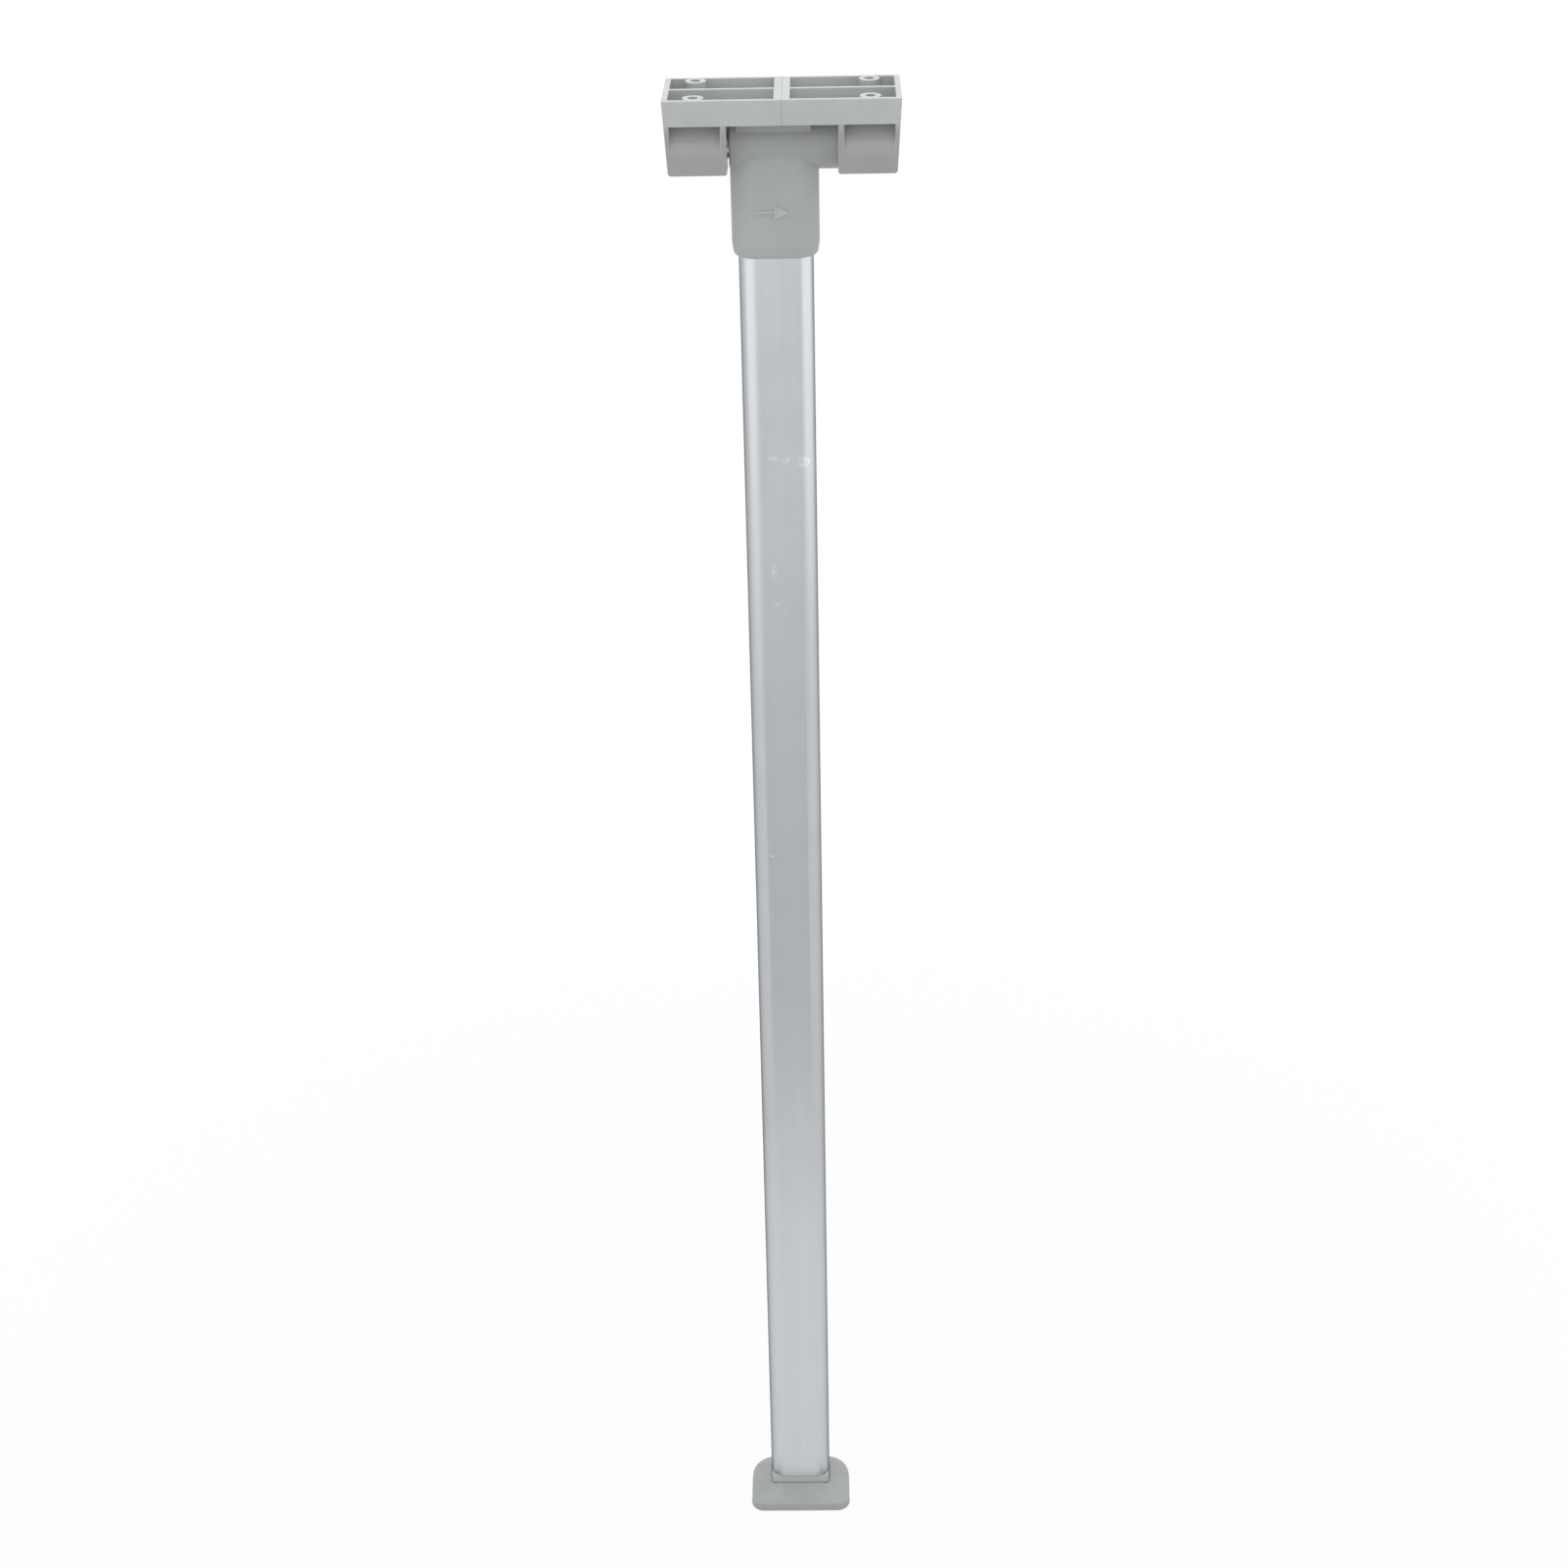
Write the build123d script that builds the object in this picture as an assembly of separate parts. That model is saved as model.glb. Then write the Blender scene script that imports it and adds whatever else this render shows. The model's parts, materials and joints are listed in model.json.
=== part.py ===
from math import hypot
import os

from build123d import *

# Folding table leg: a two-piece bracket under the table top, a sprung cross
# barrel that slides along its pin to unlock and then swings up to the back, a
# flat-oval aluminium tube and a wide foot. Millimetres. The origin is the centre
# of the bracket's table face, X runs along the pivot, Y to the back, Z up.

overall_height = 725.0

# Leg tube
tube_width = 30.0
tube_depth = 15.0
tube_wall = 1.2

# Leg head
collar_wall = 2.4
collar_fit = 0.1
collar_end = 65.2
collar_taper = 0.7
collar_taper_height = 5.0
collar_taper_blend = 12.0
collar_lip_radius = 1.6
socket_roof = 2.2
barrel_radius = 10.7
barrel_entry = 2.5
barrel_chamfer = 0.6
lug_length = 29.3
lug_depth = 18.0
lug_gap = 0.4
lug_edge = 0.5

# Sliding and swinging room
slide_travel = 7.0
end_gap = 0.5
bore_clearance = 0.35
swing_clearance = 0.75
fold_clearance = 0.8

# Pivot pin, return spring and its washer
pin_radius = 4.0
pin_fit = 0.1
pin_seat = 3.6
pin_chamfer = 0.5
spring_wire = 1.4
spring_radius = 6.6
spring_turns = 4
spring_seat_gap = 0.05
spring_margin = 0.5
washer_thickness = 1.0
washer_radius = 9.0

# Bracket
bracket_depth = 39.0
rim_height = 9.8
rim_wall = 2.2
rib_thickness = 1.8
seam_wall = 3.1
seam_edge = 0.2
floor_thickness = 2.0
ceiling_thickness = 1.5
end_web = 2.8
end_draft = 1.6
rim_draft = 0.4
rim_corner = 1.2
rim_edge = 0.4

# Bracket blocks
block_below_axis = 8.6
block_step = 0.4
block_draft = 1.3
block_outer_round = 1.4
block_inner_round = 1.0
pocket_wall = 2.3
pocket_outer_wall = 0.9
pocket_height = 12.4
pocket_depth = 8.0
core_wall = 2.3
core_top_drop = 0.8

# Screw bosses
boss_inset_x = 12.0
boss_inset_y = 5.5
boss_radius = 4.1
boss_hole_radius = 2.0
boss_hole_floor = 1.3

# Screw through the back of the collar
tube_screw_drop = 12.0
tube_screw_length = 8.0
tube_screw_radius = 1.75
tube_screw_head_radius = 3.5
screw_fit = 0.1
driver_width = 0.9
driver_length = 4.2
driver_depth = 1.2

# Foot
pad_width = 50.8
pad_front = 18.7
pad_back = 17.6
pad_front_corner = 6.5
pad_back_corner = 13.0
pad_rim = 4.5
pad_rim_draft = 0.6
pad_rim_round = 1.2
pad_height = 9.4
pad_edge = 0.8
pad_shoulder = 0.9
neck_height = 4.2
neck_sink = 1.5
neck_inset = 0.4
neck_fit = 0.2
neck_corner = 0.8
corner_relief = 0.7
relief_inset = 1.6
plug_length = 30.0
plug_fit = 0.1
plug_wall = 2.0
plug_core_inset = 5.0
plug_base = 5.0
plug_lead = 1.0
foot_screw_radius = 2.0
foot_screw_length = 20.0
foot_screw_head_radius = 4.0
foot_screw_head_height = 2.6
foot_screw_recess = 3.6
foot_screw_head_fit = 0.4

# How far a cut runs past the face it opens
spare = 1.0

# Sizes that follow from the ones above
collar_width = tube_width + 2 * (collar_wall + collar_fit)
collar_depth = tube_depth + 2 * (collar_wall + collar_fit)
neck_width = tube_width - 2 * neck_inset
neck_depth = tube_depth - 2 * neck_inset
axis_z = -(rim_height + fold_clearance + collar_depth / 2)
opening = collar_width + slide_travel + 2 * end_gap
inner_face = opening / 2
leg_x = end_gap + collar_width / 2 - inner_face
barrel_left = leg_x - collar_width / 2
barrel_right = inner_face + barrel_entry
bore_radius = barrel_radius + bore_clearance
spring_stack = (spring_turns + 1) * spring_wire
bore_depth = barrel_entry + washer_thickness + slide_travel + spring_stack + spring_margin
bore_end = inner_face + bore_depth
pin_end = bore_end + pin_seat
bracket_half = pin_end + pin_fit + end_web
half_depth = bracket_depth / 2
block_bottom = axis_z - block_below_axis
lug_top = -(rim_height + lug_gap)
lug_swing = hypot(lug_depth / 2, lug_top - axis_z)
ceiling_z = axis_z + lug_swing + swing_clearance
socket_top = axis_z - barrel_radius - socket_roof
floor_z = -overall_height
pad_top = floor_z + pad_height
neck_top = pad_top + neck_height
tube_screw_z = -collar_end + tube_screw_drop

os.makedirs("parts", exist_ok=True)


def slab(x_range, y_range, z_range):
    """A box given by its limits along each axis."""
    ranges = (x_range, y_range, z_range)
    middle = [(low + high) / 2 for low, high in ranges]
    return Pos(*middle) * Box(*[high - low for low, high in ranges])


def x_rod(radius, x_start, x_end):
    """A round bar on the pivot axis."""
    middle = Pos((x_start + x_end) / 2, 0, axis_z)
    return middle * Rot(0, 90, 0) * Cylinder(radius, x_end - x_start)


def oval_bar(width, depth, z_low, z_high):
    """An upright bar of flat-oval section on the leg's centre line."""
    return extrude(Pos(leg_x, 0, z_low) * SlotOverall(width, depth), z_high - z_low)


def z_rod(radius, x, y, z_low, z_high):
    """An upright round bar."""
    return Pos(x, y, (z_low + z_high) / 2) * Cylinder(radius, z_high - z_low)


# Bracket half

def bracket_outline():
    """Front view of the left half: a drafted end, the block and the seam."""
    outline = make_face(
        Polyline(
            (-bracket_half, 0),
            (0, 0),
            (0, -rim_height),
            (-inner_face, -rim_height),
            (-inner_face, block_bottom),
            (-bracket_half + end_draft, block_bottom),
            close=True,
        )
    )
    lower = outline.vertices().group_by(Axis.Y)[0].sort_by(Axis.X)
    outline = fillet(lower[0], block_outer_round)
    lower = outline.vertices().group_by(Axis.Y)[0].sort_by(Axis.X)
    return fillet(lower[-1], block_inner_round)


def front_y(z):
    """Where the front lies at a height: the rim leans back upwards, the block downwards."""
    above_block = z + rim_height
    if above_block > 0:
        return -half_depth + rim_draft * above_block / rim_height
    return -half_depth + block_step + block_draft * above_block / (block_bottom + rim_height)


def front_trim():
    """What the drafted front leaves off the straight half."""
    outside = -half_depth - spare
    below = block_bottom - spare
    profile = Polyline(
        (outside, spare),
        (front_y(spare), spare),
        (-half_depth, -rim_height),
        (front_y(-rim_height), -rim_height),
        (front_y(below), below),
        (outside, below),
        close=True,
    )
    length = bracket_half + 2 * spare
    return Pos(spare - length, 0, 0) * extrude(Plane.YZ * make_face(profile), length)


def pocket_cutter():
    """The curved hollow in the front of a block, under the rim."""
    outside = half_depth + spare
    pocket_floor = -rim_height - pocket_height
    front = (front_y(pocket_floor), pocket_floor)
    back = (-half_depth + pocket_depth, -rim_height)
    rise = (front_y(-rim_height) - front[0], pocket_height)
    curve = TangentArc(front, back, tangent=rise)
    edges = Polyline(back, (-outside, -rim_height), (-outside, pocket_floor), front)
    profile = Plane.YZ * make_face(curve + edges)
    x_start = -bracket_half + end_draft + pocket_outer_wall
    x_end = -inner_face - pocket_wall
    return Pos(x_start, 0, 0) * extrude(profile, x_end - x_start)


def underside_core():
    """The hollow moulded up into a block, between its bore and front wall."""
    x_range = (-bracket_half + end_draft + pocket_wall, -inner_face - pocket_wall)
    y_range = (front_y(block_bottom) + core_wall, 0)
    core_top = -rim_height - pocket_height - core_top_drop
    core = slab(x_range, y_range, (block_bottom - spare, core_top))
    return core - x_rod(bore_radius + core_wall, *x_range)


def bracket_left():
    half = extrude(Plane.XZ * bracket_outline(), half_depth, both=True)
    upright = half.edges().filter_by(lambda edge: edge.length > rim_height)
    ends = upright.filter_by_position(Axis.X, -bracket_half, -bracket_half + end_draft)
    corners = ends.filter_by(lambda edge: abs(edge.tangent_at(0.5).Y) < 0.5)
    half = fillet(corners, rim_corner)
    trim = front_trim()
    half -= trim + mirror(trim, Plane.XZ)
    top = half.edges().group_by(Axis.Z)[-1].sort_by(Axis.X)
    half = fillet(top[:-1], rim_edge)
    seam = half.edges().group_by(Axis.X)[-1].sort_by(Axis.Z)
    half = chamfer(seam[1:], seam_edge)

    # Open cells in the table face, with a deeper floor over the block
    cell_x = (-bracket_half + rim_wall, -seam_wall)
    cell_y = (rib_thickness / 2, half_depth - rim_wall)
    ceiling_top = ceiling_z + ceiling_thickness
    floor_top = -rim_height + floor_thickness
    shallow = slab((-inner_face, cell_x[1]), cell_y, (ceiling_top, spare))
    deep = slab((cell_x[0], -inner_face), cell_y, (floor_top, spare))
    cells = shallow + deep
    half -= cells + mirror(cells, Plane.XZ)

    # Room under the middle for the lug to swing
    swing_y = half_depth - rim_wall
    swing_z = (-rim_height - spare, ceiling_z)
    half -= slab((-inner_face, spare), (-swing_y, swing_y), swing_z)

    pocket = pocket_cutter()
    core = underside_core()
    half -= pocket + mirror(pocket, Plane.XZ)
    half -= core + mirror(core, Plane.XZ)
    half -= x_rod(bore_radius, -bore_end, -inner_face + spare)
    half -= x_rod(pin_radius + pin_fit, -pin_end - pin_fit, -bore_end + spare)

    boss_x = -bracket_half + boss_inset_x
    boss_foot = floor_top - floor_thickness / 2
    for side in (-1, 1):
        boss_y = side * (half_depth - boss_inset_y)
        half += z_rod(boss_radius, boss_x, boss_y, boss_foot, 0)
        hole_floor = -rim_height + boss_hole_floor
        half -= z_rod(boss_hole_radius, boss_x, boss_y, hole_floor, spare)
    return half


# Pivot

def pivot_pin():
    return chamfer(x_rod(pin_radius, -pin_end, pin_end).edges(), pin_chamfer)


def spring_washer():
    washer = x_rod(washer_radius, barrel_right, barrel_right + washer_thickness)
    return washer - x_rod(pin_radius + pin_fit, barrel_right - spare, bore_end)


def return_spring():
    start = barrel_right + washer_thickness + spring_seat_gap + spring_wire / 2
    end = bore_end - spring_seat_gap - spring_wire / 2
    length = end - start
    coil = Helix(length / spring_turns, length, spring_radius)
    section = Plane(origin=coil @ 0, z_dir=coil % 0) * Circle(spring_wire / 2)
    wire = sweep(section, path=coil, is_frenet=True)
    return Pos(start, 0, axis_z) * Rot(0, 90, 0) * wire


# Leg

def leg_head():
    barrel = chamfer(x_rod(barrel_radius, barrel_left, barrel_right).edges(), barrel_chamfer)
    taper_z = -collar_end + collar_taper_height
    mouth = SlotOverall(collar_width - 2 * collar_taper, collar_depth - 2 * collar_taper)
    full = SlotOverall(collar_width, collar_depth)
    collar = oval_bar(collar_width, collar_depth, taper_z, axis_z)
    collar += loft([Pos(leg_x, 0, -collar_end) * mouth, Pos(leg_x, 0, taper_z) * full])
    crease = collar.edges().filter_by_position(Axis.Z, taper_z, taper_z)
    collar = fillet(crease, collar_taper_blend)
    collar = fillet(collar.edges().group_by(Axis.Z)[0], collar_lip_radius)
    lug_x = (leg_x - lug_length / 2, leg_x + lug_length / 2)
    lug = slab(lug_x, (-lug_depth / 2, lug_depth / 2), (axis_z, lug_top))
    lug = chamfer(lug.edges().group_by(Axis.Z)[-1], lug_edge)
    head = barrel + collar + lug
    socket_width = tube_width + 2 * collar_fit
    socket_depth = tube_depth + 2 * collar_fit
    head -= oval_bar(socket_width, socket_depth, -collar_end - spare, socket_top)
    head -= x_rod(pin_radius + pin_fit, barrel_left - spare, barrel_right + spare)
    return head - tube_screw_shape(screw_fit)


def leg_tube():
    tube = oval_bar(tube_width, tube_depth, neck_top, socket_top)
    bore_width = tube_width - 2 * tube_wall
    bore_length = tube_depth - 2 * tube_wall
    tube -= oval_bar(bore_width, bore_length, neck_top - spare, socket_top + spare)
    return tube - tube_screw_shape(screw_fit)


def tube_screw_shape(room):
    """A countersunk screw, driven in from the back, with room added all round."""
    radius = tube_screw_radius + room
    head_radius = tube_screw_head_radius + room
    cone = head_radius - radius
    back = collar_depth / 2
    tip = back - tube_screw_length - room
    half_section = Polyline(
        (0, back),
        (head_radius, back),
        (radius, back - cone),
        (radius, tip + radius),
        (0, tip),
        close=True,
    )
    screw = revolve(make_face(half_section), Axis.Y)
    return Pos(leg_x, 0, tube_screw_z) * screw


def tube_screw():
    screw = tube_screw_shape(0)
    back = collar_depth / 2
    half_slot = (driver_length / 2, driver_width / 2)
    for half_x, half_z in (half_slot, half_slot[::-1]):
        screw -= slab(
            (leg_x - half_x, leg_x + half_x),
            (back - driver_depth, back + spare),
            (tube_screw_z - half_z, tube_screw_z + half_z),
        )
    return screw


# Foot

def neck_box(z_low, z_high, room):
    """The square-cornered neck under the tube, with room added all round."""
    outline = RectangleRounded(neck_width + 2 * room, neck_depth + 2 * room, neck_corner)
    return extrude(Pos(leg_x, 0, z_low) * outline, z_high - z_low)


def foot_plug():
    spigot_width = tube_width - 2 * (tube_wall + plug_fit)
    spigot_depth = tube_depth - 2 * (tube_wall + plug_fit)
    top = neck_top + plug_length
    spigot = oval_bar(spigot_width, spigot_depth, neck_top, top)
    spigot = chamfer(spigot.edges().group_by(Axis.Z)[-1], plug_lead)
    plug = spigot + neck_box(pad_top - neck_sink, neck_top, 0)
    core_x = (plug_core_inset, spigot_width / 2 - plug_wall)
    core_y = spigot_depth / 2 - plug_wall
    for side in (-1, 1):
        core_range = sorted((leg_x + side * core_x[0], leg_x + side * core_x[1]))
        core = slab(core_range, (-core_y, core_y), (neck_top + plug_base, top + spare))
        plug -= core
    pilot_start = pad_top - neck_sink - spare
    pilot_top = floor_z + foot_screw_recess + foot_screw_length + screw_fit
    return plug - z_rod(foot_screw_radius + screw_fit, leg_x, 0, pilot_start, pilot_top)


def pad_outline(inset, z):
    """The foot's outline at a height, with tighter corners at the front."""
    half_width = pad_width / 2 - inset
    front = -pad_front + inset
    back = pad_back - inset
    outline = make_face(
        Polyline(
            (-half_width, front),
            (half_width, front),
            (half_width, back),
            (-half_width, back),
            close=True,
        )
    )
    outline = fillet(outline.vertices().group_by(Axis.Y)[0], pad_front_corner - inset)
    outline = fillet(outline.vertices().group_by(Axis.Y)[-1], pad_back_corner - inset)
    return Pos(leg_x, 0, z) * outline


def foot_pad():
    rim_top = floor_z + pad_rim
    shoulder = pad_outline(pad_rim_draft, rim_top)
    top_width = neck_width + 2 * (neck_fit + pad_shoulder)
    top_depth = neck_depth + 2 * (neck_fit + pad_shoulder)
    crown = Pos(leg_x, 0, pad_top) * RectangleRounded(top_width, top_depth, neck_corner)
    pad = loft([pad_outline(0, floor_z), shoulder]) + loft([shoulder, crown])
    pad = fillet(pad.edges().filter_by_position(Axis.Z, rim_top, rim_top), pad_rim_round)
    pad = fillet(pad.edges().group_by(Axis.Z)[0], pad_edge)
    pad -= neck_box(pad_top - neck_sink, pad_top + spare, neck_fit)
    for side_x in (-1, 1):
        for side_y in (-1, 1):
            relief_x = leg_x + side_x * (neck_width / 2 - relief_inset)
            relief_y = side_y * (neck_depth / 2 + neck_fit)
            pad -= z_rod(corner_relief, relief_x, relief_y, pad_top - neck_sink, pad_top + spare)
    head_room = foot_screw_head_radius + foot_screw_head_fit
    pad -= z_rod(head_room, leg_x, 0, floor_z - spare, floor_z + foot_screw_recess)
    return pad - z_rod(foot_screw_radius + screw_fit, leg_x, 0, floor_z, pad_top)


def foot_screw():
    seat = floor_z + foot_screw_recess
    head = z_rod(foot_screw_head_radius, leg_x, 0, seat - foot_screw_head_height, seat)
    shank = z_rod(foot_screw_radius, leg_x, 0, seat, seat + foot_screw_length)
    screw = chamfer((head + shank).edges().group_by(Axis.Z)[-1], foot_screw_radius / 2)
    half_slot = (driver_length / 2, driver_width / 2)
    head_face = seat - foot_screw_head_height
    for half_x, half_y in (half_slot, half_slot[::-1]):
        screw -= slab(
            (leg_x - half_x, leg_x + half_x),
            (-half_y, half_y),
            (head_face - spare, head_face + driver_depth),
        )
    return screw


left_half = bracket_left()
pieces = {
    "bracket_left": left_half,
    "bracket_right": mirror(left_half, Plane.YZ),
    "pivot_pin": pivot_pin(),
    "return_spring": return_spring(),
    "spring_washer": spring_washer(),
    "leg_head": leg_head(),
    "leg_tube": leg_tube(),
    "tube_screw": tube_screw(),
    "foot_plug": foot_plug(),
    "foot_pad": foot_pad(),
    "foot_screw": foot_screw(),
}
for name, piece in pieces.items():
    piece.label = name
    export_step(piece, f"parts/{name}.step")
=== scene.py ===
import bpy
import bmesh
import json
import math
from mathutils import Matrix, Vector


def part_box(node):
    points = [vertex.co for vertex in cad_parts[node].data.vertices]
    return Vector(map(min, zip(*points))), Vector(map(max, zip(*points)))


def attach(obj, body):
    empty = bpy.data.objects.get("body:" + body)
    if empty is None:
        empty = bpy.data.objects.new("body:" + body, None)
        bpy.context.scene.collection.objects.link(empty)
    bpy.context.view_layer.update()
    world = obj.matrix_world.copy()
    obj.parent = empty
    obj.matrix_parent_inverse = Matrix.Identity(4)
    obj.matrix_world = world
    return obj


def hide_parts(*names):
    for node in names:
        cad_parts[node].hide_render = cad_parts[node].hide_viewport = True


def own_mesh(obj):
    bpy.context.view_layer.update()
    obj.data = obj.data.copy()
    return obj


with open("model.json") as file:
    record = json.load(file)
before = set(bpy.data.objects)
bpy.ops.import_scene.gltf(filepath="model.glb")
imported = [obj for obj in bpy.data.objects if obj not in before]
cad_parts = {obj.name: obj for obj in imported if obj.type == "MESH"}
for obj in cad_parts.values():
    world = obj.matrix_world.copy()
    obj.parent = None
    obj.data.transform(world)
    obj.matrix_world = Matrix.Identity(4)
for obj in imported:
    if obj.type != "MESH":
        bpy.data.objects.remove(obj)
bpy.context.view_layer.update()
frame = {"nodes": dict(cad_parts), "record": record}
mm = 0.001
pinZ = -20.6  # the hinge's axis, in mm
legX = -3.5  # the middle of the leg, in mm
print("frame loaded with", len(frame["nodes"]), "nodes")


# small helpers for node trees

def feed(tree, socket, value):  # links another node's output, or sets a plain value
    if isinstance(value, bpy.types.NodeSocket):
        tree.links.new(value, socket)
    else:
        socket.default_value = value


def addNode(tree, kind, settings=None, inputs=None):
    node = tree.nodes.new(kind)
    for name, value in (settings or {}).items():
        setattr(node, name, value)
    for name, value in (inputs or {}).items():
        feed(tree, node.inputs[name], value)
    return node


def newGroup(name, inputs, outputs):
    tree = bpy.data.node_groups.new(name, "ShaderNodeTree")
    for label, kind, value in inputs:
        socket = tree.interface.new_socket(name=label, in_out="INPUT", socket_type=kind)
        socket.default_value = value
    for label, kind in outputs:
        tree.interface.new_socket(name=label, in_out="OUTPUT", socket_type=kind)
    return tree, tree.nodes.new("NodeGroupInput"), tree.nodes.new("NodeGroupOutput")


def placeGroup(tree, group, inputs):
    return addNode(tree, "ShaderNodeGroup", {"node_tree": group}, inputs)


def mathNode(tree, operation, first, second, clamp=False):
    node = addNode(tree, "ShaderNodeMath", {"operation": operation, "use_clamp": clamp})
    for socket, value in zip(node.inputs, (first, second)):
        feed(tree, socket, value)
    return node.outputs[0]


def vectorNode(tree, operation, *values):
    node = addNode(tree, "ShaderNodeVectorMath", {"operation": operation})
    for socket, value in zip(node.inputs, values):
        feed(tree, socket, value)
    return node


def spread(tree, value, fromLow, fromHigh, toLow, toHigh):
    node = addNode(tree, "ShaderNodeMapRange", {"clamp": True, "interpolation_type": "SMOOTHSTEP"}, {
        "Value": value, "From Min": fromLow, "From Max": fromHigh, "To Min": toLow, "To Max": toHigh})
    return node.outputs["Result"]


mixSockets = {"first": 6, "second": 7, "result": 2}  # where a Mix node keeps its colours


def mixColour(tree, mask, first, second, blend="MIX"):
    node = addNode(tree, "ShaderNodeMix", {"data_type": "RGBA", "blend_type": blend}, {"Factor": mask})
    for name, value in (("first", first), ("second", second)):
        colour = value if isinstance(value, bpy.types.NodeSocket) else (*value, 1.0)
        feed(tree, node.inputs[mixSockets[name]], colour)
    return node.outputs[mixSockets["result"]]


def objectPlace(tree):
    return addNode(tree, "ShaderNodeTexCoord").outputs["Object"]


def placeAlong(tree, axis):
    return addNode(tree, "ShaderNodeSeparateXYZ", None, {"Vector": objectPlace(tree)}).outputs[axis]


def noise(tree, place, scale, spec):
    node = addNode(tree, "ShaderNodeTexNoise", None, {
        "Vector": place, "Scale": scale, "Detail": spec["detail"], "Roughness": spec["roughness"]})
    return node.outputs["Fac"]


noiseBand = {"low": 0.3, "high": 0.7}  # noise keeps near its middle


def fullBand(tree, value):
    return spread(tree, value, noiseBand["low"], noiseBand["high"], 0.0, 1.0)


# shared surface effects

mouldNoise = {
    "grain": {"detail": 2.0, "roughness": 0.6},
    "mottle": {"detail": 5.0, "roughness": 0.55},
    "spots": {"detail": 3.0, "roughness": 0.5},
    "spotsPerMottle": 6.0,
}


def makeMouldGrain(spec):
    tree, source, sink = newGroup(
        "mouldGrain",
        [
            ("Grain Scale", "NodeSocketFloat", 2200.0),
            ("Mottle Scale", "NodeSocketFloat", 60.0),
        ],
        [
            ("Height", "NodeSocketFloat"),
            ("Mottle", "NodeSocketFloat"),
            ("Sheen Spots", "NodeSocketFloat"),
        ],
    )
    place = objectPlace(tree)
    mottleScale = source.outputs["Mottle Scale"]
    spotScale = mathNode(tree, "MULTIPLY", mottleScale, spec["spotsPerMottle"])
    grain = noise(tree, place, source.outputs["Grain Scale"], spec["grain"])
    mottle = noise(tree, place, mottleScale, spec["mottle"])
    spots = noise(tree, place, spotScale, spec["spots"])
    tree.links.new(grain, sink.inputs["Height"])
    tree.links.new(fullBand(tree, mottle), sink.inputs["Mottle"])
    tree.links.new(fullBand(tree, spots), sink.inputs["Sheen Spots"])
    return tree


edgeTurn = {"samples": 6, "flat": 0.995, "turned": 0.85}  # cosines, from a flat face to a full edge


def makeSoftEdge(spec):
    tree, source, sink = newGroup(
        "softEdge",
        [("Radius", "NodeSocketFloat", 0.0004)],
        [("Normal", "NodeSocketVector"), ("Edge", "NodeSocketFloat")],
    )
    bevel = addNode(tree, "ShaderNodeBevel", {"samples": spec["samples"]}, {
        "Radius": source.outputs["Radius"]})
    rounded = bevel.outputs["Normal"]
    flat = addNode(tree, "ShaderNodeNewGeometry").outputs["Normal"]
    turn = vectorNode(tree, "DOT_PRODUCT", rounded, flat).outputs["Value"]
    tree.links.new(rounded, sink.inputs["Normal"])
    # the Edge mask carries a painted highlight along edges; the rounded normal is real
    tree.links.new(spread(tree, turn, spec["flat"], spec["turned"], 0.0, 1.0), sink.inputs["Edge"])
    return tree


scuffShape = {
    "rim": 1.0,  # a scuff fades in from here, as a share of its reach
    "core": 0.25,  # and is full here
    "flakes": {"detail": 4.0, "roughness": 0.65},
    "flakeLow": 0.42,
    "flakeHigh": 0.62,
}


def makeScuffSpot(spec):
    tree, source, sink = newGroup(
        "scuffSpot",
        [
            ("Centre", "NodeSocketVector", (0.0, 0.0, 0.0)),
            ("Reach", "NodeSocketVector", (0.002, 0.004, 0.002)),
            ("Break Up", "NodeSocketFloat", 1400.0),
        ],
        [("Mask", "NodeSocketFloat")],
    )
    place = objectPlace(tree)
    away = vectorNode(tree, "SUBTRACT", place, source.outputs["Centre"]).outputs["Vector"]
    share = vectorNode(tree, "DIVIDE", away, source.outputs["Reach"]).outputs["Vector"]
    reach = vectorNode(tree, "LENGTH", share).outputs["Value"]
    inside = spread(tree, reach, spec["rim"], spec["core"], 0.0, 1.0)
    flakes = noise(tree, place, source.outputs["Break Up"], spec["flakes"])
    broken = spread(tree, flakes, spec["flakeLow"], spec["flakeHigh"], 0.0, 1.0)
    tree.links.new(mathNode(tree, "MULTIPLY", inside, broken), sink.inputs["Mask"])
    return tree


drawnNoise = {
    "lines": {"detail": 3.0, "roughness": 0.6},
    "streaks": {"detail": 4.0, "roughness": 0.6},
    "haze": {"detail": 5.0, "roughness": 0.6},
    "streakShare": 0.12,  # of the lines' scale
    "hazeScale": 45.0,
}


def makeDrawnLines(spec):
    tree, source, sink = newGroup(
        "drawnLines",
        [
            ("Stretch", "NodeSocketVector", (1.0, 1.0, 0.008)),
            ("Line Scale", "NodeSocketFloat", 1500.0),
        ],
        [("Height", "NodeSocketFloat"), ("Streak", "NodeSocketFloat"), ("Haze", "NodeSocketFloat")],
    )
    place = objectPlace(tree)
    drawn = vectorNode(tree, "MULTIPLY", place, source.outputs["Stretch"]).outputs["Vector"]
    lineScale = source.outputs["Line Scale"]
    streakScale = mathNode(tree, "MULTIPLY", lineScale, spec["streakShare"])
    lines = noise(tree, drawn, lineScale, spec["lines"])
    streaks = noise(tree, drawn, streakScale, spec["streaks"])
    haze = noise(tree, place, spec["hazeScale"], spec["haze"])
    tree.links.new(lines, sink.inputs["Height"])
    tree.links.new(fullBand(tree, streaks), sink.inputs["Streak"])
    tree.links.new(fullBand(tree, haze), sink.inputs["Haze"])
    return tree


mouldGrain = makeMouldGrain(mouldNoise)
softEdge = makeSoftEdge(edgeTurn)
scuffSpot = makeScuffSpot(scuffShape)
drawnLines = makeDrawnLines(drawnNoise)
print("surface effects ready")


# materials

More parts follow.
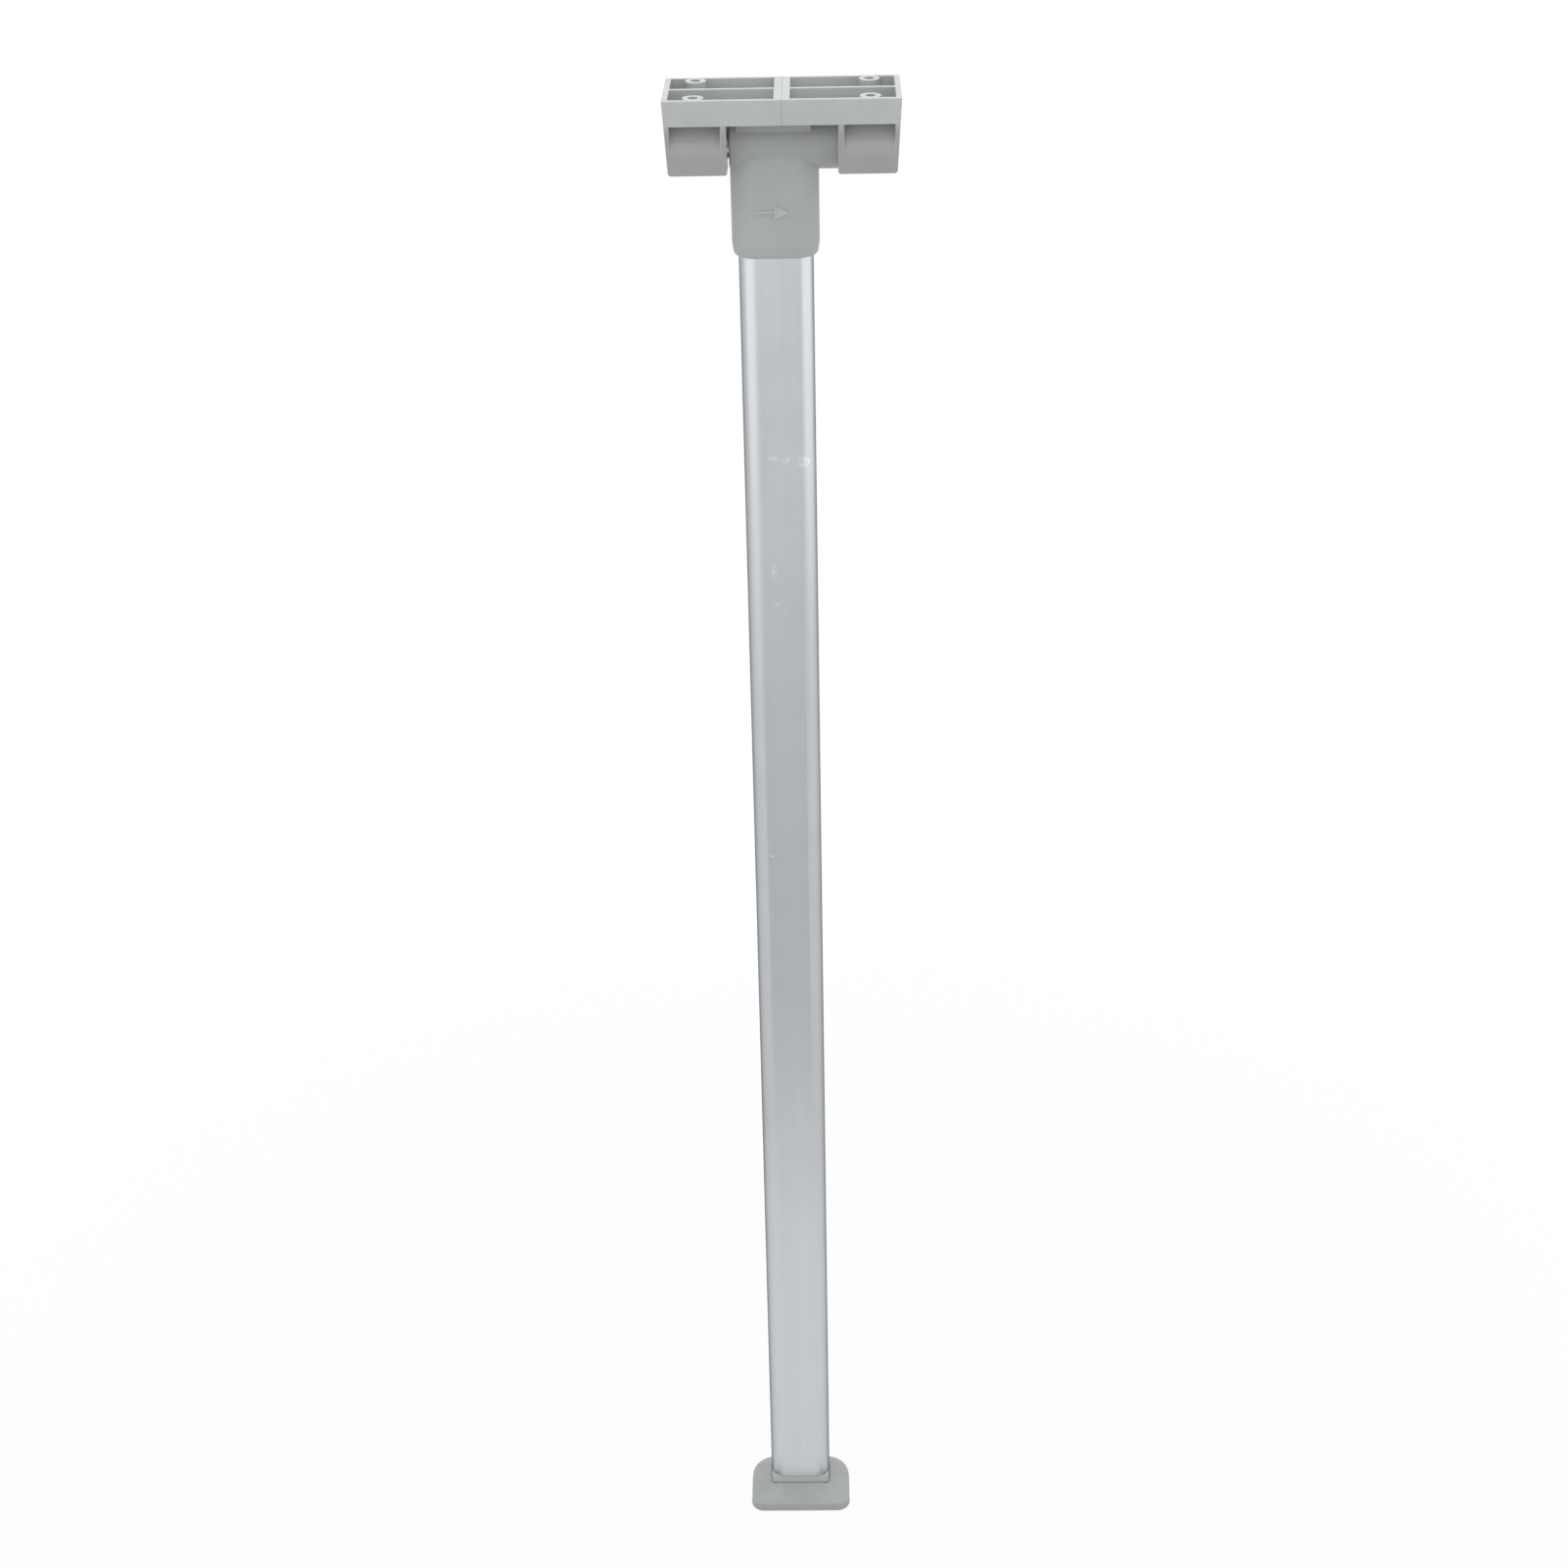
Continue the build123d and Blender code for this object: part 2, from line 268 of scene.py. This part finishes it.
def newMaterial(name):
    material = bpy.data.materials.new(name)
    material.use_nodes = True
    tree = material.node_tree
    return material, tree, tree.nodes["Principled BSDF"]


def coverShader(tree, shader, colour, roughness, relief, edge, spec):
    bump = addNode(tree, "ShaderNodeBump", None, {
        "Strength": spec["reliefStrength"], "Distance": spec["reliefDepth"],
        "Height": relief.outputs["Height"], "Normal": edge.outputs["Normal"]})
    tree.links.new(colour, shader.inputs["Base Color"])
    tree.links.new(roughness, shader.inputs["Roughness"])
    tree.links.new(bump.outputs["Normal"], shader.inputs["Normal"])


bracketPlastic = {
    "name": "bracketPlastic",
    "pale": (0.451, 0.464, 0.468),
    "deep": (0.422, 0.436, 0.440),
    # painted highlight: edges are painted in this paler colour
    "edge": (0.600, 0.610, 0.612),
    "shadedPale": (0.335, 0.345, 0.347),  # painted shade: the blocks below the rim are painted in these darker tones
    "shadedDeep": (0.312, 0.321, 0.323),
    "roughness": (0.42, 0.54),
    "specularLevel": 0.42,
    "grainScale": 2200.0,
    "mottleScale": 55.0,
    "reliefStrength": 0.6,
    "reliefDepth": 0.000012,
    "edgeRadius": 0.00045,
}
headPlastic = dict(
    bracketPlastic,
    name="headPlastic",
    pale=(0.407, 0.422, 0.426),
    deep=(0.380, 0.395, 0.399),
    edge=(0.462, 0.474, 0.477),
    shadedPale=(0.370, 0.382, 0.385),  # painted shade: the barrel and the lug under the bracket are painted darker too
    shadedDeep=(0.346, 0.358, 0.361),
)
arrowPlastic = dict(
    headPlastic,
    name="arrowPlastic",
    pale=(0.440, 0.455, 0.459),
    deep=(0.418, 0.432, 0.436),
    # painted highlight: a near-white painted outline along the arrow's edges
    edge=(0.820, 0.830, 0.832),
    edgeRadius=0.00032,
)
footPlastic = dict(
    headPlastic,
    name="footPlastic",
    pale=(0.350, 0.361, 0.361),
    deep=(0.322, 0.333, 0.333),
    edge=(0.400, 0.410, 0.410),
    mottleScale=40.0,
)
litPlugPlastic = dict(  # painted light: the plug above the foot is a paler copy of the foot plastic, for the light on its front
    footPlastic,
    name="litPlugPlastic",
    pale=(0.470, 0.484, 0.484),
    deep=(0.440, 0.454, 0.454),
    edge=(0.520, 0.530, 0.530),
)
# where the painted shade lies, in mm: on the bracket below the rim, on the head round the barrel and above it
paintedShadeZone = {"rimFrom": -9.3, "rimTo": -13.5, "barrelRadius": 10.75, "soften": 0.35}


# painted shade on the bracket below the rim
def blockShadeMask(tree):
    height = placeAlong(tree, "Z")
    return spread(tree, height, paintedShadeZone["rimFrom"] * mm, paintedShadeZone["rimTo"] * mm, 0.0, 1.0)


def barrelShadeMask(tree):  # painted shade round the pin, and on all that is above it
    axisZ = pinZ * mm
    radius = paintedShadeZone["barrelRadius"] * mm
    soften = paintedShadeZone["soften"] * mm
    across = vectorNode(tree, "MULTIPLY_ADD", objectPlace(tree), (0.0, 1.0, 1.0), (0.0, 0.0, -axisZ))
    reach = vectorNode(tree, "LENGTH", across.outputs["Vector"]).outputs["Value"]
    onBarrel = spread(tree, reach, radius, radius + soften, 1.0, 0.0)
    above = spread(tree, placeAlong(tree, "Z"), axisZ - soften, axisZ + soften, 0.0, 1.0)
    return mathNode(tree, "MAXIMUM", onBarrel, above)


def makePlastic(spec, paintedShadeMask=None):
    material, tree, shader = newMaterial(spec["name"])
    grain = placeGroup(tree, mouldGrain, {
        "Grain Scale": spec["grainScale"], "Mottle Scale": spec["mottleScale"]})
    edge = placeGroup(tree, softEdge, {"Radius": spec["edgeRadius"]})
    mottle = grain.outputs["Mottle"]
    body = mixColour(tree, mottle, spec["deep"], spec["pale"])
    # painted shade: where the mask lies, the colour turns to the darker shaded tones
    if paintedShadeMask:
        shadedBody = mixColour(tree, mottle, spec["shadedDeep"], spec["shadedPale"])
        body = mixColour(tree, paintedShadeMask(tree), body, shadedBody)
    # painted highlight: edges turn to the paler edge colour
    colour = mixColour(tree, edge.outputs["Edge"], body, spec["edge"])
    roughness = spread(tree, grain.outputs["Sheen Spots"], 0.0, 1.0, *spec["roughness"])
    coverShader(tree, shader, colour, roughness, grain, edge, spec)
    shader.inputs["Specular IOR Level"].default_value = spec["specularLevel"]
    return material


# satin anodised tube; the scuffs are where the photo shows them, x and z in mm on the front
tubeFinish = {
    "pale": (0.618, 0.641, 0.659),
    "deep": (0.573, 0.597, 0.616),
    "streakTone": 0.6,
    "hazeTone": 0.4,
    "flatHalf": 7.0,
    "roundHalf": 9.5,
    "roundTone": 0.85,  # the painted reflection tone leaves the rounded sides no darker than this
    # painted reflection along the tube, from its top to the foot
    "toneTop": -60.0,
    "toneFoot": -715.0,
    "toneStops": [
        (0.0, 0.88), (0.26, 0.80), (0.49, 0.69), (0.63, 0.83),
        (0.74, 0.97), (0.86, 1.0), (1.0, 0.97),
    ],
    "scuff": (0.880, 0.890, 0.895),
    "glancing": (0.25, 0.25, 0.26),  # the oxide skin dims what it mirrors at a flat angle
    "roughness": (0.28, 0.33),
    "scuffRoughness": 0.62,
    "reliefStrength": 0.5,
    "reliefDepth": 0.000006,
    "edgeRadius": 0.0003,
    "frontY": -7.5,
    "reachY": 4.0,
    "scuffs": [
        {"x": -6.45, "z": -150.0, "wide": 2.6, "tall": 1.6, "strength": 0.58},
        {"x": -1.00, "z": -150.5, "wide": 2.6, "tall": 2.0, "strength": 0.60},
        {"x": 6.90, "z": -151.6, "wide": 4.6, "tall": 4.0, "strength": 0.55},
        {"x": -6.95, "z": -200.5, "wide": 2.2, "tall": 4.6, "strength": 0.32},
        {"x": -6.20, "z": -216.2, "wide": 1.4, "tall": 1.2, "strength": 0.40},
        {"x": -10.66, "z": -339.7, "wide": 1.9, "tall": 1.2, "strength": 0.45},
    ],
}


def paintedReflectionTone(tree, body, spec):  # painted reflection: the flats are painted darker along the middle of the tube and paler near the foot
    along = addNode(tree, "ShaderNodeMapRange", {"clamp": True}, {
        "Value": placeAlong(tree, "Z"), "From Min": spec["toneTop"] * mm, "From Max": spec["toneFoot"] * mm})
    ramp = addNode(tree, "ShaderNodeValToRGB", None, {"Fac": along.outputs["Result"]})
    ramp.color_ramp.interpolation = "B_SPLINE"
    stops = ramp.color_ramp.elements
    while len(stops) < len(spec["toneStops"]):
        stops.new(0.5)  # each gets its own place below
    for stop, (share, tone) in zip(stops, spec["toneStops"]):
        stop.position = share
        stop.color = (tone, tone, tone, 1.0)
    across = mathNode(tree, "SUBTRACT", placeAlong(tree, "X"), legX * mm)
    fromMiddle = mathNode(tree, "ABSOLUTE", across, 0.0)
    sideTone = spread(tree, fromMiddle, spec["flatHalf"] * mm, spec["roundHalf"] * mm, 0.0, spec["roundTone"])
    tone = mathNode(tree, "MAXIMUM", ramp.outputs["Color"], sideTone)
    return mixColour(tree, 1.0, body, tone, "MULTIPLY")


def scuffMask(tree, spec):
    worn = None
    for scuff in spec["scuffs"]:
        spot = placeGroup(tree, scuffSpot, {
            "Centre": (scuff["x"] * mm, spec["frontY"] * mm, scuff["z"] * mm),
            "Reach": (scuff["wide"] * mm, spec["reachY"] * mm, scuff["tall"] * mm)})
        mask = mathNode(tree, "MULTIPLY", spot.outputs["Mask"], scuff["strength"])
        worn = mask if worn is None else mathNode(tree, "MAXIMUM", worn, mask)
    return worn


def makeTubeFinish(spec):
    material, tree, shader = newMaterial("tubeAluminium")
    drawn = placeGroup(tree, drawnLines, {})
    edge = placeGroup(tree, softEdge, {"Radius": spec["edgeRadius"]})
    worn = scuffMask(tree, spec)
    streak = mathNode(tree, "MULTIPLY", drawn.outputs["Streak"], spec["streakTone"])
    haze = mathNode(tree, "MULTIPLY", drawn.outputs["Haze"], spec["hazeTone"])
    body = mixColour(tree, mathNode(tree, "ADD", streak, haze), spec["deep"], spec["pale"])
    colour = mixColour(tree, worn, paintedReflectionTone(tree, body, spec), spec["scuff"])
    satin = spread(tree, drawn.outputs["Haze"], 0.0, 1.0, *spec["roughness"])
    scuffed = mathNode(tree, "MULTIPLY", worn, spec["scuffRoughness"])
    roughness = mathNode(tree, "MAXIMUM", satin, scuffed)
    coverShader(tree, shader, colour, roughness, drawn, edge, spec)
    shader.inputs["Metallic"].default_value = 1.0
    shader.inputs["Specular Tint"].default_value = (*spec["glancing"], 1.0)
    return material


zincSteel = {
    "pale": (0.640, 0.650, 0.660),
    "deep": (0.520, 0.530, 0.535),
    "roughness": (0.24, 0.40),
    "grainScale": 1600.0,
    "mottleScale": 220.0,
    "reliefStrength": 0.4,
    "reliefDepth": 0.000005,
    "edgeRadius": 0.0002,
}


def makeZincSteel(spec):
    material, tree, shader = newMaterial("zincSteel")
    grain = placeGroup(tree, mouldGrain, {
        "Grain Scale": spec["grainScale"], "Mottle Scale": spec["mottleScale"]})
    edge = placeGroup(tree, softEdge, {"Radius": spec["edgeRadius"]})
    colour = mixColour(tree, grain.outputs["Mottle"], spec["deep"], spec["pale"])
    roughness = spread(tree, grain.outputs["Sheen Spots"], 0.0, 1.0, *spec["roughness"])
    coverShader(tree, shader, colour, roughness, grain, edge, spec)
    shader.inputs["Metallic"].default_value = 1.0
    return material


finishes = {
    "bracket_plastic": makePlastic(bracketPlastic, blockShadeMask),
    "head_plastic": makePlastic(headPlastic, barrelShadeMask),
    "foot_plastic": makePlastic(footPlastic),
    "tube_aluminium": makeTubeFinish(tubeFinish),
    "steel": makeZincSteel(zincSteel),
}
ownFinishes = {"foot_plug": makePlastic(litPlugPlastic)}


def dressNodes():
    for row in frame["record"]["subparts"]:
        node = frame["nodes"][row["node"]]
        finish = ownFinishes.get(row["node"], finishes[row["material_slot"]])
        if not node.material_slots:
            node.data.materials.append(finish)
        for materialSlot in node.material_slots:
            materialSlot.material = finish


dressNodes()


# raised arrow on the collar, which shows the way to push

pushArrow = {
    "name": "push_arrow",
    "centreZ": -46.0,
    "collarY": -10.0,
    "sunk": 0.15,
    "proud": 0.60,
    "tail": -8.1,
    "neck": -0.2,
    "tip": 5.7,
    "shaftHalf": 0.5,
    "headHalf": 2.75,
    "edge": 0.18,
    "edgeSteps": 2,
    "edgeProfile": 0.6,
    "border": 0.35,  # left raised around the pressed-in middle of the head
    "pressed": 0.30,
}


def linkPiece(name, bm, finish):
    mesh = bpy.data.meshes.new(name)
    bm.to_mesh(mesh)
    bm.free()
    mesh.materials.append(finish)
    piece = bpy.data.objects.new(name, mesh)
    bpy.context.scene.collection.objects.link(piece)
    return piece


def pressArrowHead(bm, spec):
    whole = min(bm.faces, key=lambda face: face.calc_center_median().y)
    neck = Vector(((legX + spec["neck"]) * mm, whole.verts[0].co.y, spec["centreZ"] * mm))
    inner = sorted(whole.verts, key=lambda vert: (vert.co - neck).length)[:2]
    halves = [whole, bmesh.utils.face_split(whole, *inner)[0]]
    head = max(halves, key=lambda face: face.calc_center_median().x)
    bmesh.ops.inset_region(bm, faces=[head], thickness=spec["border"] * mm, use_even_offset=True)
    bmesh.ops.translate(bm, verts=head.verts, vec=(0.0, spec["pressed"] * mm, 0.0))


def makePushArrow(spec):
    half = spec["shaftHalf"]
    outline = [
        (spec["tail"], -half),
        (spec["neck"], -half),
        (spec["neck"], -spec["headHalf"]),
        (spec["tip"], 0.0),
        (spec["neck"], spec["headHalf"]),
        (spec["neck"], half),
        (spec["tail"], half),
    ]
    bm = bmesh.new()
    backY = (spec["collarY"] + spec["sunk"]) * mm
    back = [bm.verts.new(((legX + x) * mm, backY, (spec["centreZ"] + z) * mm)) for x, z in outline]
    base = bm.faces.new(back)
    raised = bmesh.ops.extrude_face_region(bm, geom=[base])["geom"]
    front = [item for item in raised if isinstance(item, bmesh.types.BMVert)]
    bmesh.ops.translate(bm, verts=front, vec=(0.0, -(spec["sunk"] + spec["proud"]) * mm, 0.0))
    frontEdges = [item for item in raised if isinstance(item, bmesh.types.BMEdge)]
    bmesh.ops.bevel(bm, geom=frontEdges, offset=spec["edge"] * mm, segments=spec["edgeSteps"],
                    profile=spec["edgeProfile"], affect="EDGES")
    pressArrowHead(bm, spec)
    bmesh.ops.recalc_face_normals(bm, faces=bm.faces)
    piece = linkPiece(spec["name"], bm, makePlastic(arrowPlastic))
    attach(piece, "leg")


makePushArrow(pushArrow)
print("push arrow made")


# coil spring on the pin, with closed ends

coilSpring = {
    "name": "coil_spring",
    "coilRadius": 6.6,
    "wireRadius": 0.7,
    "turns": 4.6,
    "closedTurns": 0.75,
    "closedPitch": 1.02,  # in wire diameters
    "stepsPerTurn": 40,
    "wireSides": 12,
    "fixedX": 39.5,
    "travel": 7.0,
}


def makeCoilSpring(spec):
    low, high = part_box("return_spring")
    startX = low.x + spec["wireRadius"] * mm
    endX = high.x - spec["wireRadius"] * mm
    closedRise = 2 * spec["wireRadius"] * mm * spec["closedPitch"]
    turns = spec["turns"]
    closed = spec["closedTurns"]
    steps = int(turns * spec["stepsPerTurn"])
    axisZ = pinZ * mm

    def alongAxis(turn):  # closed turns at both ends, even pitch between them
        if turn < closed:
            return startX + closedRise * turn
        if turn > turns - closed:
            return endX - closedRise * (turns - turn)
        share = (turn - closed) / (turns - 2 * closed)
        return startX + closedRise * closed + share * (endX - startX - 2 * closedRise * closed)

    def wireCentre(turn):
        angle = 2 * math.pi * turn
        radius = spec["coilRadius"] * mm
        return Vector((alongAxis(turn), radius * math.cos(angle), axisZ + radius * math.sin(angle)))

    bm = bmesh.new()
    rings = []
    for step in range(steps + 1):
        centre = wireCentre(turns * step / steps)
        outward = Vector((0.0, centre.y, centre.z - axisZ)).normalized()
        ring = []
        for side in range(spec["wireSides"]):
            around = 2 * math.pi * side / spec["wireSides"]
            offset = outward * math.cos(around) + Vector((1.0, 0.0, 0.0)) * math.sin(around)
            ring.append(bm.verts.new(centre + offset * spec["wireRadius"] * mm))
        rings.append(ring)
    for one, two in zip(rings, rings[1:]):
        for side in range(spec["wireSides"]):
            after = (side + 1) % spec["wireSides"]
            bm.faces.new((one[side], one[after], two[after], two[side]))
    bm.faces.new(rings[0][::-1])
    bm.faces.new(rings[-1])
    bmesh.ops.recalc_face_normals(bm, faces=bm.faces)
    for face in bm.faces:
        face.smooth = len(face.verts) == 4
    piece = linkPiece(spec["name"], bm, finishes["steel"])
    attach(piece, "pivot")
    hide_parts("return_spring")
    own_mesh(piece)


makeCoilSpring(coilSpring)
print("coil spring made")


# pale floor and white surroundings

floorPlan = {
    "height": -725.0,
    "half": 9.0,
    "behind": 2.0,
    "colour": (0.60, 0.60, 0.60),
    "roughness": 0.9,
    "nearShare": 0.95,  # how much of its own white the floor shows beside the foot
    "farShare": 1.0,
    "nearReach": 0.12,
    "farReach": 0.70,
    "glow": 1.0,
}
roomLight = {"horizon": 0.95, "zenith": 0.43, "white": 1.0}
plainWhite = (1.0, 1.0, 1.0, 1.0)


def seenShare(tree):
    path = addNode(tree, "ShaderNodeLightPath")
    seen = mathNode(tree, "ADD", path.outputs["Is Camera Ray"], path.outputs["Is Glossy Ray"])
    return mathNode(tree, "ADD", seen, path.outputs["Is Transmission Ray"], clamp=True)


def mixShaders(tree, share, first, second):
    mix = addNode(tree, "ShaderNodeMixShader")
    for socket, value in zip(mix.inputs, (share, first, second)):
        tree.links.new(value, socket)
    return mix.outputs["Shader"]


def makeFloor(spec):
    bm = bmesh.new()
    half = spec["half"]
    corners = [(-half, -half), (half, -half), (half, half), (-half, half)]
    bm.faces.new([bm.verts.new((x, y + spec["behind"], spec["height"] * mm)) for x, y in corners])
    material, tree, shader = newMaterial("paleFloor")
    shader.inputs["Base Color"].default_value = (*spec["colour"], 1.0)
    shader.inputs["Roughness"].default_value = spec["roughness"]
    below = vectorNode(tree, "DISTANCE", objectPlace(tree), (0.0, 0.0, spec["height"] * mm))
    ownWhite = spread(tree, below.outputs["Value"], spec["nearReach"], spec["farReach"],
                      spec["nearShare"], spec["farShare"])
    glow = addNode(tree, "ShaderNodeEmission", None, {"Color": plainWhite, "Strength": spec["glow"]})
    share = mathNode(tree, "MULTIPLY", seenShare(tree), ownWhite)
    surface = mixShaders(tree, share, shader.outputs["BSDF"], glow.outputs["Emission"])
    tree.links.new(surface, tree.nodes["Material Output"].inputs["Surface"])
    linkPiece("floor", bm, material)


def makeRoom(spec):
    world = bpy.data.worlds.new("room")
    world.use_nodes = True
    tree = world.node_tree
    tree.nodes.clear()
    around = addNode(tree, "ShaderNodeTexCoord").outputs["Generated"]
    rise = addNode(tree, "ShaderNodeSeparateXYZ", None, {"Vector": around}).outputs["Z"]
    dome = addNode(tree, "ShaderNodeMapRange", {"clamp": True}, {
        "Value": rise, "From Min": 0.0, "From Max": 1.0, "To Min": spec["horizon"], "To Max": spec["zenith"]})
    grey = addNode(tree, "ShaderNodeBackground", None, {
        "Color": plainWhite, "Strength": dome.outputs["Result"]})
    white = addNode(tree, "ShaderNodeBackground", None, {"Color": plainWhite, "Strength": spec["white"]})
    surface = mixShaders(tree, seenShare(tree), grey.outputs["Background"], white.outputs["Background"])
    output = addNode(tree, "ShaderNodeOutputWorld")
    tree.links.new(surface, output.inputs["Surface"])
    bpy.context.scene.world = world


makeFloor(floorPlan)
makeRoom(roomLight)
print("floor and room made")


# soft studio lamps: two above, a weak one in front, a strip at each side

lamps = [
    {
        "name": "steepBox", "at": (0.0, -0.30, 1.10), "aim": (0.0, 0.0, -0.1),
        "size": (0.9, 0.4), "power": 6.0,
    },
    {
        "name": "backBox", "at": (0.0, 0.80, 1.10), "aim": (0.0, 0.0, -0.2),
        "size": (1.4, 0.7), "power": 10.3,
    },
    {
        "name": "frontFill", "at": (0.0, -2.1, 0.30), "aim": (0.0, 0.0, -0.3),
        "size": (1.4, 1.4), "power": 3.7,
    },
    {
        "name": "leftStrip", "at": (-0.85, -0.65, -0.20), "aim": (0.0, 0.0, -0.3),
        "size": (1.3, 0.9), "power": 2.2,
    },
    {
        "name": "rightStrip", "at": (0.97, -0.22, -0.20), "aim": (0.0, 0.0, -0.3),
        "size": (1.5, 0.9), "power": 2.4,
    },
]


def makeLamp(spec):
    lamp = bpy.data.lights.new(spec["name"], "AREA")
    lamp.shape = "RECTANGLE"
    lamp.size, lamp.size_y = spec["size"]
    lamp.energy = spec["power"]
    holder = bpy.data.objects.new(spec["name"], lamp)
    at = Vector(spec["at"])
    holder.rotation_euler = (Vector(spec["aim"]) - at).to_track_quat("-Z", "Y").to_euler()
    holder.location = at
    bpy.context.scene.collection.objects.link(holder)


for lampSpec in lamps:
    makeLamp(lampSpec)
print("lamps placed:", len(lamps))


# camera at the photo's viewpoint

photoCamera = {
    "focalPixels": 2598.04,
    "imagePixels": 1601.0,
    "sensorMm": 36.0,
    "at": (0.015076, -0.993405, 0.234756),
    "pitchDown": 28.595,
    "yaw": -1.1452,
    "roll": 1.1919,
    "clipStart": 0.01,
    "clipEnd": 60.0,
}


def makeCamera(spec):
    pitch = math.radians(spec["pitchDown"])
    yaw = math.radians(spec["yaw"])
    roll = math.radians(spec["roll"])
    forward = Vector((math.sin(yaw) * math.cos(pitch), math.cos(yaw) * math.cos(pitch), -math.sin(pitch)))
    level = Vector((math.cos(yaw), -math.sin(yaw), 0.0))
    down = forward.cross(level)
    right = math.cos(roll) * level + math.sin(roll) * down
    up = math.sin(roll) * level - math.cos(roll) * down
    data = bpy.data.cameras.new("photoView")
    data.sensor_width = spec["sensorMm"]
    data.lens = spec["sensorMm"] * spec["focalPixels"] / spec["imagePixels"]
    data.clip_start = spec["clipStart"]
    data.clip_end = spec["clipEnd"]
    camera = bpy.data.objects.new("photoView", data)
    turn = Matrix((right, up, -forward)).transposed()
    camera.matrix_world = Matrix.Translation(spec["at"]) @ turn.to_4x4()
    bpy.context.scene.collection.objects.link(camera)
    bpy.context.scene.camera = camera


makeCamera(photoCamera)
bpy.context.scene.view_settings.view_transform = "Standard"
print("camera set")
